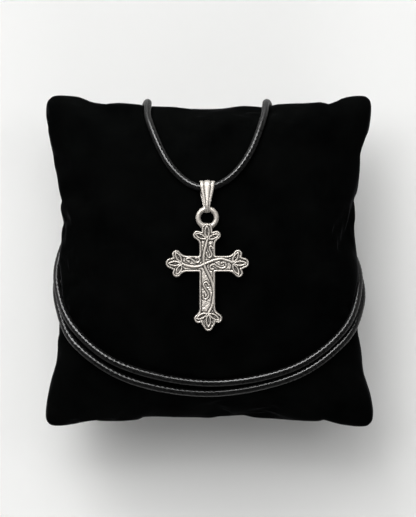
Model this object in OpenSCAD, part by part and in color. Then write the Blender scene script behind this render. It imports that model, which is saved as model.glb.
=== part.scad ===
/* [Pillow] */
// Half width of the pillow at its corners
pillow_half_w = 40; // [38:0.5:44]
// Half height of the pillow at its corners
pillow_half_h = 40.6; // [39:0.5:44]
// Height of the seam above the rest surface
seam_z = 17; // [16.9:0.05:17.1]
// Height of the dome above the seam
dome_h = 18; // [17.5:0.1:18]
// Share by which the left and right sides draw in between the corners
side_draw = 0.1; // [0.05:0.01:0.1]
// Share by which the top and bottom sides draw in between the corners
end_draw = 0.062; // [0.04:0.002:0.07]

/* [Cord] */
// Diameter of the cord
cord_d = 1.75; // [1.5:0.05:1.75]
// Diameter of the barrel clasp behind the pillow
clasp_d = 4; // [3:0.1:4]
// Length of the barrel clasp
clasp_l = 12; // [12:1:12]

/* [Cross] */
// Thickness of the cast plate under the relief
plate_t = 1.5; // [1.2:0.1:1.8]
// Half width of the bars
bar_half_w = 1.87; // [1.7:0.05:2]
// Width of the raised rim
rim_w = 0.42; // [0.3:0.02:0.5]
// Height of the rim above the ground of the relief
rim_h = 0.3; // [0.2:0.05:0.5]
// Height of the leaves above the ground of the relief
leaf_h = 0.5; // [0.3:0.05:0.6]
// Widest part of a leaf
leaf_w = 1.25; // [1:0.05:1.4]
// Width of the raised edge round each leaf
leaf_rim = 0.27; // [0.2:0.01:0.35]
// Radius of the vine strands
vine_r = 0.34; // [0.25:0.01:0.4]
// Radius of the scroll strands
scroll_r = 0.25; // [0.2:0.01:0.3]
// Outer radius of the ring at the top
ring_outer_r = 2.81; // [2.7:0.05:3]
// Radius of the ring's wire
ring_wire_r = 0.62; // [0.5:0.02:0.64]

/* [Bail] */
// Width of the bail at its top
bail_top_w = 3.55; // [3:0.05:4]
// Width of the bail at its tip
bail_tip_w = 1.2; // [1:0.05:1.6]
// Wall of the bail
bail_wall = 0.35; // [0.3:0.01:0.4]
// Height of the three flutes over the wall
flute_h = 0.25; // [0.1:0.01:0.3]

/* [Hidden] */

// Steps of the pillow's grid from one seam to the other
pillow_steps = 24;
// Where the draw-in of each side ends, as shares of the half size
side_fade = [0.25, 0.95];
end_fade = [0.5, 0.88];

// Centre of the cross on the pillow's face, and the underside of its plate
cross_at = [-0.44, -0.66, 35.1];
relief_z = plate_t;
corner_r = 0.35;

// The four ends of the cross: x, y and direction of the root, angle of the side leaves,
// lengths of the side leaves and of the middle leaf, and radius of the middle lobe
X = 0;
Y = 1;
DIR = 2;
SPLAY = 3;
SIDE_L = 4;
MID_L = 5;
MID_R = 6;
ENDS = [
    [6.05, 0.1, 0, 59, 3.35, 3.65, 1.45],
    [-6.05, 0.05, 180, 59, 3.35, 3.65, 1.45],
    [0, 5.89, 90, 65.5, 3.3, 3.55, 0.85],
    [0.25, -11.87, 270, 61, 3.4, 3.75, 1.45],
];
side_lobe_r = 1.02;
root_r = 1.3;
// How far the plate reaches past the tip of each leaf
tip_margin = 0.35;

// Vines and scrolls of the relief, as points from end to end
VINE_DOWN = [
    [0.05, 5.9], [-0.35, 4.3], [-0.75, 2.5], [-0.87, 0.9], [-0.5, -0.9], [0.4, -2.75],
    [1.2, -4.55], [1.6, -6.65], [1.45, -8.75], [1.1, -10.3], [0.3, -11.9],
];
VINE_ACROSS = [
    [-6, 0.05], [-5.2, -0.35], [-3.35, -0.7], [-1.8, -0.55], [-0.75, -0.05],
    [0.4, 0.4], [1.85, 0.95], [3.2, 1.2], [4.5, 0.95], [6.1, 0.3],
];
SCROLLS = [
    [[1.2, 3.95], [0.55, 4.2], [0.4, 3.55], [0.95, 2.65], [1.15, 2], [0.55, 1.55], [0.05, 2], [0.1, 2.75]],
    [[-4.25, 0.25], [-4.9, 0.65], [-4.7, 1.25], [-3.75, 1.05], [-2.95, 0.4], [-2.2, 0.4], [-1.8, 0.9],
        [-2.2, 1.4], [-2.95, 1.3]],
    [[1.45, -1.3], [0.85, -1.2], [0.8, -0.5], [1.6, -0.1], [2.4, -0.65], [3.45, -1.05], [4.35, -0.75],
        [4.5, 0], [3.95, 0.4], [3.45, 0.15]],
    [[0.4, -5.1], [-0.1, -4.45], [-0.75, -4.7], [-0.85, -5.35], [-0.35, -6.15], [0.15, -6.9], [0.3, -7.85],
        [-0.2, -8.5], [-0.85, -8.35], [-1, -7.7]],
];

// Ring at the top of the cross: height of its centre over the cross, and over the plate's underside
ring_y = 11.1;
ring_z = 0.8;
ring_mid_r = ring_outer_r - ring_wire_r;

// The cord's route in one loop, from the clasp's left mouth, behind the pillow and twice across
// its lower front, to the clasp's right mouth
CORD_ROUTE = [
    [-6, 30.5, 3.4], [-12, 29.6, 3.2], [-21.5, 22.5, 3.2], [-31.9, 8.1, 7.3], [-37.3, -3.4, 14.2],
    [-36.8, -12.1, 19.9], [-32.2, -20.8, 26.4], [-19.3, -29, 28.6], [0.3, -32.2, 27.9], [20.4, -28.3, 28.8],
    [32.8, -19.8, 25.9], [37.3, -11.3, 19.3], [37.1, -3.7, 13.5], [33.1, 3.9, 6], [26.9, 14.1, 1.5],
    [20.3, 26.4, 4.4], [15.9, 35.9, 10], [14.2, 39.1, 17.7], [13.3, 34.9, 25.2], [9.9, 26.3, 30.7],
    [5.2, 20.3, 33.1], [-0.5, 17.7, 34.7], [-5.7, 19.4, 33.4], [-10.6, 24.9, 31.2], [-14.8, 34.5, 25.6],
    [-15.2, 39.1, 17.3], [-18, 34.3, 7.8], [-27.8, 19.6, 5], [-36.1, 3.8, 12], [-37.3, -6.5, 19.2],
    [-32.6, -16.9, 26], [-20.7, -25.6, 29.6], [-0.1, -29.7, 29.5], [20, -26.2, 29.6], [33, -16.7, 25.9],
    [37, -5.5, 18.2], [35, 2.9, 10.9], [28.6, 11.8, 5.1], [18, 22, 2.4], [6, 30.5, 3.4],
];
clasp_at = [0, 30.5, 3.4];
cord_sides = 8;
cord_steps = 4;

// Bail: centre of the cord inside it, radius of its hole there, half height of its hole at the
// ring, and how far that end of the hole hangs below the middle of the ring's wire
bail_at = [-0.44, 18, 34.8];
bail_hole_r = 1.4;
bail_ring_r = 0.74;
bail_ring_drop = 0.06;
bail_stations = 24;
flute_points = 12;

function unit(v) = v / norm(v);

// 0 below the first share, 1 above the second, and smooth between them
function fade(share, span) =
    let(k = max(0, min(1, (abs(share) - span[0]) / (span[1] - span[0]))))
    k * k * (3 - 2 * k);

// A point of the pillow's upper or lower skin, by two angles from -90 to 90 degrees. The lower
// skin is flat where it rests.
function skin(a, b, side) = [
    pillow_half_w * sin(a) * (1 - side_draw * (1 - fade(sin(b), side_fade))),
    pillow_half_h * sin(b) * (1 - end_draw * (1 - fade(sin(a), end_fade))),
    max(0, seam_z + side * dome_h * cos(a) * cos(b))
];

// The two triangles of a quad, split from its second corner to its fourth where asked
function halves(q, from_second) =
    from_second ? [[q[0], q[1], q[3]], [q[1], q[2], q[3]]] : [[q[0], q[1], q[2]], [q[0], q[2], q[3]]];

module display_pillow() {
    n = pillow_steps;
    span = n + 1;
    lower = span * span;
    function angle(i) = -90 + 180 * i / n;
    function up(i, j) = i * span + j;
    function down(i, j) = i == 0 || j == 0 || i == n || j == n ? up(i, j) : lower + up(i, j);
    points = [
        for (side = [1, -1], i = [0:n], j = [0:n]) skin(angle(i), angle(j), side)
    ];
    // Each quad is split along the line from the pillow's nearest corner to its middle
    function crosses(i, j) = (i < n / 2) != (j < n / 2);
    top_faces = [
        for (i = [0:n - 1], j = [0:n - 1])
            each halves([up(i, j), up(i, j + 1), up(i + 1, j + 1), up(i + 1, j)], crosses(i, j))
    ];
    bottom_faces = [
        for (i = [0:n - 1], j = [0:n - 1])
            each halves([down(i, j), down(i + 1, j), down(i + 1, j + 1), down(i, j + 1)], crosses(i, j))
    ];
    color([0.03, 0.03, 0.03])
        polyhedron(points, concat(top_faces, bottom_faces));
}

// A point on the smooth curve through some points, t in [0, 1] along span i
function curve_point(points, i, t) =
    let(
        last = len(points) - 1,
        b = points[i],
        c = points[i + 1],
        a = i > 0 ? points[i - 1] : 2 * b - c,
        d = i + 2 <= last ? points[i + 2] : 2 * c - b
    )
    0.5 * (2 * b + (c - a) * t + (2 * a - 5 * b + 4 * c - d) * t * t + (3 * b - a - 3 * c + d) * t * t * t);

function smooth_path(points, steps) = concat(
    [for (i = [0:len(points) - 2], k = [0:steps - 1]) curve_point(points, i, k / steps)],
    [points[len(points) - 1]]
);

module cord() {
    path = smooth_path(CORD_ROUTE, cord_steps);
    last = len(path) - 1;
    m = cord_sides;
    // The tube's first and last rings lie flat against the clasp's faces
    function along(i) =
        i == 0 ? [-1, 0, 0] : i == last ? [-1, 0, 0] : unit(path[i + 1] - path[i - 1]);
    points = [
        for (i = [0:last])
            let(
                t = along(i),
                out = path[i] - [0, 0, seam_z],
                u = unit(out - (out * t) * t),
                v = cross(t, u)
            )
            for (k = [0:m - 1])
                path[i] + cord_d / 2 * (cos(360 * k / m) * u + sin(360 * k / m) * v)
    ];
    walls = [
        for (i = [0:last - 1], k = [0:m - 1], half = [0, 1])
            let(a = i * m + k, b = i * m + (k + 1) % m)
            half == 0 ? [a, b + m, b] : [a, a + m, b + m]
    ];
    start_cap = [[for (k = [0:m - 1]) k]];
    end_cap = [[for (k = [0:m - 1]) last * m + m - 1 - k]];
    color([0.05, 0.05, 0.05])
        polyhedron(points, concat(start_cap, walls, end_cap));
}

module clasp() {
    collar = clasp_l / 6;
    color([0.62, 0.6, 0.58])
        translate(clasp_at)
            rotate([0, 90, 0]) {
                cylinder(h = clasp_l, d = clasp_d * 0.8, center = true, $fn = 48);
                cylinder(h = clasp_l - 2 * collar, d = clasp_d, center = true, $fn = 48);
            }
}

module bail() {
    ring_at = cross_at + [0, ring_y + ring_mid_r - bail_ring_drop, ring_z];
    reach = norm([bail_at[Y] - ring_at[Y], bail_at[2] - ring_at[2]]);
    lean = asin((bail_at[2] - ring_at[2]) / reach);
    // Angle at which the straight sides leave the two round ends
    touch = acos((bail_hole_r - bail_ring_r) / reach);
    n = bail_stations;
    q = flute_points;
    // The loop in the bail's own upright plane: 0 degrees points from the cord to the ring
    function at_ring(turn) = abs(turn > 180 ? turn - 360 : turn) < touch;
    function turn_of(k) = 360 * k / n;
    function loop(turn, out) =
        let(
            small = at_ring(turn),
            c = small ? reach : 0,
            r = (small ? bail_ring_r : bail_hole_r) + out
        )
        [-(c + r * cos(turn)), r * sin(turn)];
    function half_w(s) =
        (bail_top_w + (bail_tip_w - bail_top_w) * (bail_hole_r - s) / (bail_hole_r + reach + bail_ring_r)) / 2;
    function flute(u, turn) = bail_wall + flute_h * max(0, sin(turn)) * abs(cos(270 * u));
    ring_size = q + 3;
    points = [
        for (k = [0:n - 1])
            let(turn = turn_of(k), w = half_w(loop(turn, 0)[0]))
            concat(
                [for (p = [0:q]) let(u = 2 * p / q - 1, s = loop(turn, flute(u, turn))) [w * u, s[0], s[1]]],
                [for (u = [1, -1]) let(s = loop(turn, 0)) [w * u, s[0], s[1]]]
            )
    ];
    flat = [for (ring = points, p = ring) p];
    faces = [
        for (k = [0:n - 1], p = [0:ring_size - 1], half = [0, 1])
            let(
                a = k * ring_size + p,
                b = k * ring_size + (p + 1) % ring_size,
                c = (k + 1) % n * ring_size + p,
                d = (k + 1) % n * ring_size + (p + 1) % ring_size
            )
            half == 0 ? [a, d, b] : [a, c, d]
    ];
    color([0.75, 0.73, 0.7])
        translate(bail_at)
            rotate([lean, 0, 0])
                polyhedron(flat, faces);
}

// Pointed leaf along +X from the origin
module leaf(length, width) {
    r = (length * length + width * width) / (4 * width);
    intersection() {
        translate([length / 2, r - width / 2])
            circle(r, $fn = 48);
        translate([length / 2, width / 2 - r])
            circle(r, $fn = 48);
    }
}

// Rounded lobe of the plate under a leaf
module lobe(length, r) {
    hull() {
        circle(root_r, $fn = 24);
        translate([length + tip_margin - r, 0])
            circle(r, $fn = 28);
    }
}

// Places its children at each leaf of an end, along +X
module at_leaves(end) {
    for (turn = [-end[SPLAY], 0, end[SPLAY]])
        translate([end[X], end[Y]])
            rotate(end[DIR] + turn) {
                $leaf_l = turn == 0 ? end[MID_L] : end[SIDE_L];
                $lobe_r = turn == 0 ? end[MID_R] : side_lobe_r;
                children();
            }
}

module outline() {
    offset(r = -corner_r)
        offset(delta = corner_r) {
            translate([-bar_half_w, ENDS[3][Y]])
                square([2 * bar_half_w, ENDS[2][Y] - ENDS[3][Y]]);
            translate([ENDS[1][X], -bar_half_w])
                square([ENDS[0][X] - ENDS[1][X], 2 * bar_half_w]);
            for (end = ENDS)
                at_leaves(end)
                    lobe($leaf_l, $lobe_r);
        }
}

// A rounded strand on the ground of the relief
module strand(points, r) {
    for (i = [0:len(points) - 2])
        hull()
            for (p = [points[i], points[i + 1]])
                translate([p[X], p[Y], relief_z])
                    sphere(r, $fn = 8);
}

module cross_pendant() {
    color([0.72, 0.7, 0.67])
        translate(cross_at) {
            linear_extrude(plate_t)
                outline();
            linear_extrude(relief_z + rim_h)
                difference() {
                    outline();
                    offset(delta = -rim_w)
                        outline();
                }
            linear_extrude(relief_z + leaf_h)
                for (end = ENDS)
                    at_leaves(end)
                        difference() {
                            leaf($leaf_l, leaf_w);
                            offset(delta = -leaf_rim)
                                leaf($leaf_l, leaf_w);
                        }
            strand(VINE_DOWN, vine_r);
            strand(VINE_ACROSS, vine_r);
            for (points = SCROLLS)
                strand(smooth_path(points, 2), scroll_r);
            translate([0, ring_y, ring_z])
                rotate_extrude($fn = 40)
                    translate([ring_mid_r, 0])
                        circle(ring_wire_r, $fn = 14);
        }
}

display_pillow();
cord();
bail();
cross_pendant();
clasp();
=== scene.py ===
import math

import bpy
import numpy as np
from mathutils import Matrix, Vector, kdtree


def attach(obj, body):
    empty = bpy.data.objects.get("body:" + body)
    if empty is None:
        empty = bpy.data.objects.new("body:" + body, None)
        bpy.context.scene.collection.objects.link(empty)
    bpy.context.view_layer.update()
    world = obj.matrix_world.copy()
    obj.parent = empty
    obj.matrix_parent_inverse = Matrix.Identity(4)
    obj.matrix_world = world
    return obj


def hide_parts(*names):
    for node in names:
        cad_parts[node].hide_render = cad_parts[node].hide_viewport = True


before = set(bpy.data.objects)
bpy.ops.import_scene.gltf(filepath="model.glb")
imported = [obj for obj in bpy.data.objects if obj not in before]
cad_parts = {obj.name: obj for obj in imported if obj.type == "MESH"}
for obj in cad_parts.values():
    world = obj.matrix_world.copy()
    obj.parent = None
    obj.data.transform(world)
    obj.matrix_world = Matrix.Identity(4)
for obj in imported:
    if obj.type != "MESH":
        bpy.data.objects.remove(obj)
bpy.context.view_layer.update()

# Lengths below are in millimetres unless a name says otherwise
MM = 0.001
# The least divisor, where one could be nothing
TINY = 1e-6

# Camera: straight above the pillow, as the photograph was taken
IMAGE_H = 517
SEAM_Z = 17.0
SEAM_PX_PER_MM = 4.05
CAMERA_XY = (-0.27, 0.62)
CAMERA_ABOVE_SEAM = 860.0
SENSOR_H = 36.0

# The cord's route from the clasp's left mouth to its right mouth, as in the CAD source. Most of its
# points come from a fit to the cord's lines in the photograph, rounded to 0.1 mm.
CORD_D = 1.75
CORD_ROUTE = [
    (-6, 30.5, 3.4), (-12, 29.6, 3.2), (-21.5, 22.5, 3.2), (-31.9, 8.1, 7.3), (-37.3, -3.4, 14.2),
    (-36.8, -12.1, 19.9), (-32.2, -20.8, 26.4), (-19.3, -29, 28.6), (0.3, -32.2, 27.9), (20.4, -28.3, 28.8),
    (32.8, -19.8, 25.9), (37.3, -11.3, 19.3), (37.1, -3.7, 13.5), (33.1, 3.9, 6), (26.9, 14.1, 1.5),
    (20.3, 26.4, 4.4), (15.9, 35.9, 10), (14.2, 39.1, 17.7), (13.3, 34.9, 25.2), (9.9, 26.3, 30.7),
    (5.2, 20.3, 33.1), (-0.5, 17.7, 34.7), (-5.7, 19.4, 33.4), (-10.6, 24.9, 31.2), (-14.8, 34.5, 25.6),
    (-15.2, 39.1, 17.3), (-18, 34.3, 7.8), (-27.8, 19.6, 5), (-36.1, 3.8, 12), (-37.3, -6.5, 19.2),
    (-32.6, -16.9, 26), (-20.7, -25.6, 29.6), (-0.1, -29.7, 29.5), (20, -26.2, 29.6), (33, -16.7, 25.9),
    (37, -5.5, 18.2), (35, 2.9, 10.9), (28.6, 11.8, 5.1), (18, 22, 2.4), (6, 30.5, 3.4),
]


def smooth_min(a, b, k):
    """The smaller of two values, rounded where they are within k of each other."""
    h = np.clip(0.5 + 0.5 * (b - a) / k, 0, 1)
    return b + (a - b) * h - k * h * (1 - h)


def smooth_max(a, b, k):
    return -smooth_min(-a, -b, k)


def fade(value, low, high):
    """0 below low, 1 above high, smooth between them."""
    t = np.clip((value - low) / (high - low), 0, 1)
    return t * t * (3 - 2 * t)


def spline(a, b, c, d, t):
    """The smooth curve from b to c at a share t of the way, with a before them and d after."""
    square = 2 * a - 5 * b + 4 * c - d
    cubic = 3 * b - a - 3 * c + d
    return 0.5 * (2 * b + (c - a) * t + square * t ** 2 + cubic * t ** 3)


def curve(points, per_span):
    """The smooth curve through some points, as many samples in each span."""
    p = np.array(points, dtype=float)
    p = np.vstack([2 * p[0] - p[1], p, 2 * p[-1] - p[-2]])
    t = np.arange(per_span)[:, None] / per_span
    spans = [spline(a, b, c, d, t) for a, b, c, d in zip(p, p[1:], p[2:], p[3:])]
    return np.vstack(spans + [p[-2:-1]])


def even(points, step):
    """The same path with samples at even distances."""
    along = np.concatenate([[0], np.cumsum(np.linalg.norm(np.diff(points, axis=0), axis=1))])
    wanted = np.linspace(0, along[-1], int(round(along[-1] / step)) + 1)
    return np.column_stack([np.interp(wanted, along, points[:, k]) for k in range(points.shape[1])])


def mesh_object(name, points, faces, material, values=None):
    """An object from points in millimetres, with an optional value at each point for its material."""
    mesh = bpy.data.meshes.new(name)
    mesh.from_pydata((np.asarray(points) * MM).tolist(), [], faces)
    mesh.polygons.foreach_set("use_smooth", [True] * len(mesh.polygons))
    if values is not None:
        layer = mesh.attributes.new("recess", "FLOAT", "POINT")
        layer.data.foreach_set("value", np.asarray(values, dtype=np.float32))
    mesh.materials.append(material)
    mesh.update()
    piece = bpy.data.objects.new(name, mesh)
    bpy.context.collection.objects.link(piece)
    return piece


def strip_faces(rings, around, closed_along=False):
    """Quads between rings of points. Each ring is closed."""
    faces = []
    for i in range(rings if closed_along else rings - 1):
        a = i * around
        b = (i + 1) % rings * around
        for k in range(around):
            n = (k + 1) % around
            faces.append((a + k, a + n, b + n, b + k))
    return faces


def node_material(name):
    material = bpy.data.materials.new(name)
    material.use_nodes = True
    nodes = material.node_tree.nodes
    return material, nodes, material.node_tree.links, nodes["Principled BSDF"]


def noise(nodes, links, scale, detail, roughness=0.5):
    """A noise pattern fixed to the object, its scale in features a metre."""
    where = nodes.new("ShaderNodeTexCoord")
    pattern = nodes.new("ShaderNodeTexNoise")
    pattern.inputs["Scale"].default_value = scale
    pattern.inputs["Detail"].default_value = detail
    pattern.inputs["Roughness"].default_value = roughness
    links.new(where.outputs["Object"], pattern.inputs["Vector"])
    return pattern.outputs["Fac"]


def ramp(nodes, links, source, stops):
    """A colour ramp over a value: stops are (position, colour)."""
    node = nodes.new("ShaderNodeValToRGB")
    elements = node.color_ramp.elements
    while len(elements) < len(stops):
        elements.new(0.5)
    for element, (position, colour) in zip(elements, stops):
        element.position = position
        element.color = (*colour, 1)
    links.new(source, node.inputs["Fac"])
    return node.outputs["Color"]


def bump(nodes, links, source, target, distance_mm, strength):
    node = nodes.new("ShaderNodeBump")
    node.inputs["Strength"].default_value = strength
    node.inputs["Distance"].default_value = distance_mm * MM
    links.new(source, node.inputs["Height"])
    links.new(node.outputs["Normal"], target)


def grey(value):
    return (value, value, value)


def velvet_material():
    material, nodes, links, shader = node_material("velvet_black")
    nap = noise(nodes, links, scale=90, detail=3, roughness=0.6)
    colour = ramp(nodes, links, nap, [(0.3, (0.0008, 0.0009, 0.0009)), (0.75, (0.0021, 0.0023, 0.0022))])
    links.new(colour, shader.inputs["Base Color"])
    shader.inputs["Roughness"].default_value = 0.95
    shader.inputs["Specular IOR Level"].default_value = 0.0
    shader.inputs["Sheen Weight"].default_value = 0.075
    shader.inputs["Sheen Roughness"].default_value = 0.25
    shader.inputs["Sheen Tint"].default_value = (0.75, 0.75, 0.8, 1)
    pile = noise(nodes, links, scale=5200, detail=2, roughness=0.6)
    bump(nodes, links, pile, shader.inputs["Normal"], distance_mm=0.08, strength=0.5)
    return material


def cord_material():
    material, nodes, links, shader = node_material("waxed_black_cord")
    wax = noise(nodes, links, scale=1500, detail=3, roughness=0.6)
    colour = ramp(nodes, links, wax, [(0.35, grey(0.0016)), (0.65, grey(0.009))])
    links.new(colour, shader.inputs["Base Color"])
    roughness = ramp(nodes, links, wax, [(0.3, grey(0.26)), (0.75, grey(0.34))])
    links.new(roughness, shader.inputs["Roughness"])
    shader.inputs["Specular IOR Level"].default_value = 0.27
    shader.inputs["Anisotropic"].default_value = 0.9
    lengthways = nodes.new("ShaderNodeTangent")
    lengthways.direction_type = "UV_MAP"
    lengthways.uv_map = "lengthways"
    links.new(lengthways.outputs["Tangent"], shader.inputs["Tangent"])
    fibre = noise(nodes, links, scale=6500, detail=2, roughness=0.6)
    bump(nodes, links, fibre, shader.inputs["Normal"], distance_mm=0.03, strength=0.25)
    return material


# Metals: bright colours and dark ones for tarnish, on the silver also painted shade in hollows, grooves,
# back and edge;
# how much a stain adds to the dark colour and what is taken off it everywhere, and the bright colour's share
# of the middle tone
SILVER_BRIGHT = (0.445, 0.414, 0.376)
SILVER_TARNISH_AND_SHADE = (0.028, 0.024, 0.02)
STEEL_BRIGHT = (0.36, 0.355, 0.345)
STEEL_TARNISH = (0.12, 0.115, 0.11)
STAIN_GAIN = 0.45
STAIN_OFFSET = -0.22
BRIGHT_SHARE = 0.42


def silver_material(name, bright, tarnish_and_shade):
    """Cast metal, bright on its raised parts and darker where its recess value is high: tarnish in its
    hollows together with painted shade.
    """
    material, nodes, links, shader = node_material(name)
    shader.inputs["Metallic"].default_value = 0.45
    recess = nodes.new("ShaderNodeAttribute")
    recess.attribute_name = "recess"
    stain = noise(nodes, links, scale=2600, detail=4, roughness=0.7)
    spread = nodes.new("ShaderNodeMath")
    spread.operation = "MULTIPLY_ADD"
    spread.inputs[1].default_value = STAIN_GAIN
    spread.inputs[2].default_value = STAIN_OFFSET
    links.new(stain, spread.inputs[0])
    total = nodes.new("ShaderNodeMath")
    total.operation = "ADD"
    total.use_clamp = True
    links.new(recess.outputs["Fac"], total.inputs[0])
    links.new(spread.outputs[0], total.inputs[1])
    # The ramp paints the dark colour where the recess value is high: tarnish together with painted shade.
    middle = tuple(BRIGHT_SHARE * a + (1 - BRIGHT_SHARE) * b for a, b in zip(bright, tarnish_and_shade))
    colour = ramp(nodes, links, total.outputs[0], [(0.05, bright), (0.45, middle), (0.9, tarnish_and_shade)])
    links.new(colour, shader.inputs["Base Color"])
    roughness = ramp(nodes, links, total.outputs[0], [(0.0, grey(0.56)), (1.0, grey(0.66))])
    links.new(roughness, shader.inputs["Roughness"])
    grain = noise(nodes, links, scale=7000, detail=3, roughness=0.6)
    bump(nodes, links, grain, shader.inputs["Normal"], distance_mm=0.012, strength=0.5)
    return material


def floor_material():
    material, nodes, links, shader = node_material("pale_floor")
    tone = noise(nodes, links, scale=6, detail=2)
    colour = ramp(nodes, links, tone, [(0.3, (0.8, 0.8, 0.79)), (0.7, (0.815, 0.815, 0.805))])
    links.new(colour, shader.inputs["Base Color"])
    shader.inputs["Roughness"].default_value = 0.8
    shader.inputs["Specular IOR Level"].default_value = 0.1
    return material


def make_camera():
    data = bpy.data.cameras.new("camera")
    data.sensor_fit = "VERTICAL"
    data.sensor_height = SENSOR_H
    data.lens = SENSOR_H * CAMERA_ABOVE_SEAM / (IMAGE_H / SEAM_PX_PER_MM)
    data.clip_start = 0.01
    camera = bpy.data.objects.new("camera", data)
    camera.location = (CAMERA_XY[0] * MM, CAMERA_XY[1] * MM, (SEAM_Z + CAMERA_ABOVE_SEAM) * MM)
    bpy.context.collection.objects.link(camera)
    bpy.context.scene.camera = camera


# Cord: samples a span of its route, spacing and sides of its mesh, and the braid on it
CORD_SAMPLES = 60
CORD_STEP = 0.24
CORD_SIDES = 32
BRAID_STRANDS = 6
BRAID_PITCH = 7.3
BRAID_HEIGHT = 0.09
BRAID_LOW = 0.45
CORD_INTO_CLASP = 0.9


def braid(turn, along):
    """Relief of a one-over-one braid from 0 to 1, at a share of a turn and a distance along."""
    a = BRAID_STRANDS * (turn + along / BRAID_PITCH)
    b = BRAID_STRANDS * (turn - along / BRAID_PITCH)
    first_on_top = (np.floor(a) + np.floor(b)) % 2 == 0
    fa, fb = a - np.floor(a), b - np.floor(b)
    across = np.where(first_on_top, fa, fb)
    length = np.where(first_on_top, fb, fa)
    round_top = np.sqrt(np.clip(1 - (2 * across - 1) ** 2, 0, 1))
    return round_top * (BRAID_LOW + (1 - BRAID_LOW) * np.sin(math.pi * length))


def make_cord():
    into = np.array([CORD_INTO_CLASP, 0, 0])
    path = curve(CORD_ROUTE, CORD_SAMPLES)
    path = np.vstack([path[0] + into, path, path[-1] - into])
    path = even(path, CORD_STEP)
    n = len(path)
    along = np.gradient(path, axis=0)
    along /= np.linalg.norm(along, axis=1)[:, None]
    side = np.zeros_like(path)
    side[0] = (0, 0, 1)
    for i in range(1, n):
        s = side[i - 1] - along[i] * side[i - 1].dot(along[i])
        side[i] = s / np.linalg.norm(s)
    other = np.cross(along, side)
    turn = np.arange(CORD_SIDES) / CORD_SIDES
    distance = np.arange(n) * CORD_STEP
    relief = braid(turn[None, :], distance[:, None])
    radius = CORD_D / 2 - BRAID_HEIGHT / 2 + BRAID_HEIGHT * relief
    angle = 2 * math.pi * turn
    ring = np.cos(angle)[None, :, None] * side[:, None] + np.sin(angle)[None, :, None] * other[:, None]
    points = (path[:, None] + radius[:, :, None] * ring).reshape(-1, 3)
    faces = strip_faces(n, CORD_SIDES)
    faces.append(tuple(range(CORD_SIDES))[::-1])
    faces.append(tuple(range((n - 1) * CORD_SIDES, n * CORD_SIDES)))
    piece = mesh_object("cord_braided", points, faces, cord_material())
    layer = piece.data.uv_layers.new(name="lengthways")
    corners = np.empty(len(piece.data.loops), dtype=np.int32)
    piece.data.loops.foreach_get("vertex_index", corners)
    spread = np.stack([distance[corners // CORD_SIDES] / distance[-1], turn[corners % CORD_SIDES]], axis=-1)
    layer.data.foreach_set("uv", spread.astype(np.float32).ravel())
    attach(piece, "root")
    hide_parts("cord")
    return path


# Pillow: height of each dome over the seam, then the outline's half sizes at shares of the other
# half size, each side on its own
DOME_H = 18.0
SIDE_SAMPLES = 24
LEFT_SIDE = [
    (-1, 40), (-0.86, 39.5), (-0.75, 38.7), (-0.68, 37.8), (-0.62, 37.1), (-0.5, 36.5), (-0.42, 36),
    (-0.1, 35.9), (0.16, 35.9), (0.235, 35.3), (0.31, 36.1), (0.345, 36.1), (0.385, 35.6), (0.45, 36.6),
    (0.53, 37.1), (0.6, 37.8), (0.67, 38.2), (0.75, 39.1), (0.83, 39.8), (1, 39.6),
]
RIGHT_SIDE = [
    (-1, 40), (-0.9, 39.9), (-0.82, 39.4), (-0.75, 38.5), (-0.68, 37.6), (-0.57, 37.1), (-0.42, 35.7),
    (-0.1, 35.8), (0.13, 35.7), (0.25, 36.3), (0.33, 36), (0.38, 35.6), (0.45, 36.5), (0.6, 36.8),
    (0.67, 36.8), (0.75, 38), (0.83, 39.2), (1, 39.6),
]
TOP_SIDE = [
    (-1, 40.4), (-0.84, 40.3), (-0.78, 39.7), (-0.73, 39.1), (-0.6, 38.6), (-0.45, 37.5), (-0.3, 36.8),
    (-0.08, 37), (0.07, 37.2), (0.2, 37.5), (0.42, 37.6), (0.67, 38.7), (0.72, 38.6), (0.765, 38.1),
    (0.81, 38.9), (0.86, 39.9), (1, 40.5),
]
BOTTOM_SIDE = [
    (-1, 40.3), (-0.85, 39.9), (-0.75, 39.2), (-0.67, 39.5), (-0.46, 38.9), (-0.38, 37.9), (-0.1, 38.2),
    (0, 38.5), (0.07, 38.1), (0.18, 38.3), (0.29, 39), (0.42, 38.9), (0.66, 39.1), (0.72, 38.6),
    (0.78, 39.4), (0.85, 40), (1, 40.5),
]
EAR_POWER = 60
EAR_ONSET = 8
PILLOW_STEPS = 200
# How the velvet gives way: the ridge beside the cord, and how far and wide it rises to what lies on it
NAP_H = 0.22
CORD_DENT_W = 1.2
CORD_AIR = 0.03
SEAT_MOST = 1.6
SEAT_REACH = 4.0
SEAT_GAIN = 1.2
SEAT_EVERY = 10
SEAT_OFF_FLOOR = (0.3, 4)
CROSS_SEAT = 0.85
CROSS_SEAT_REACH = 7.0
CROSS_AIR = 0.04
# The velvet beside the metal: its distance, how steeply it rises beyond that, how round it turns, and
# how it rises below the leaning bail
VELVET_MARGIN = 0.3
VELVET_SLOPE = 1.2
VELVET_TURN_CROSS = 0.1
VELVET_TURN_BAIL = 0.15
UNDER_BAIL_LEAN = 0.33
# Where the folds are calmer: close to the floor, and round the cross
FLOOR_CALM = (0.5, 6)
FLOOR_TURN = 1.0
CALM_Y = -3
CALM_R = 16
CALM_SHARE = 0.7
# The cloth simulation that gives the folds
FOLD_STEPS = 84
FOLD_SEED = 11
ROUGH_H = 0.25
ROUGH_REACH = 3
SHEET_RISE = 1.5
FOLD_REACH = 8
FOLD_SHARE = 0.6
SHEET_HALF = 44.0
CLOTH_SCALE = 10
CLOTH_BENDING = 3.0
CLOTH_PRESSURE = 4.0
CLOTH_FRAMES = 22
# How far the folds calm down at the corners and at the seam, in shares of the half size
CORNER_CALM = (0.06, 0.3)
SEAM_CALM = 0.12
SEAM_SHARE = 0.35


def side_curve(points, share):
    """A side's half size at a share of the other half size, smooth between its points."""
    fine = curve(points, SIDE_SAMPLES)
    return np.interp(share, fine[:, 0], fine[:, 1])


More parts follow.
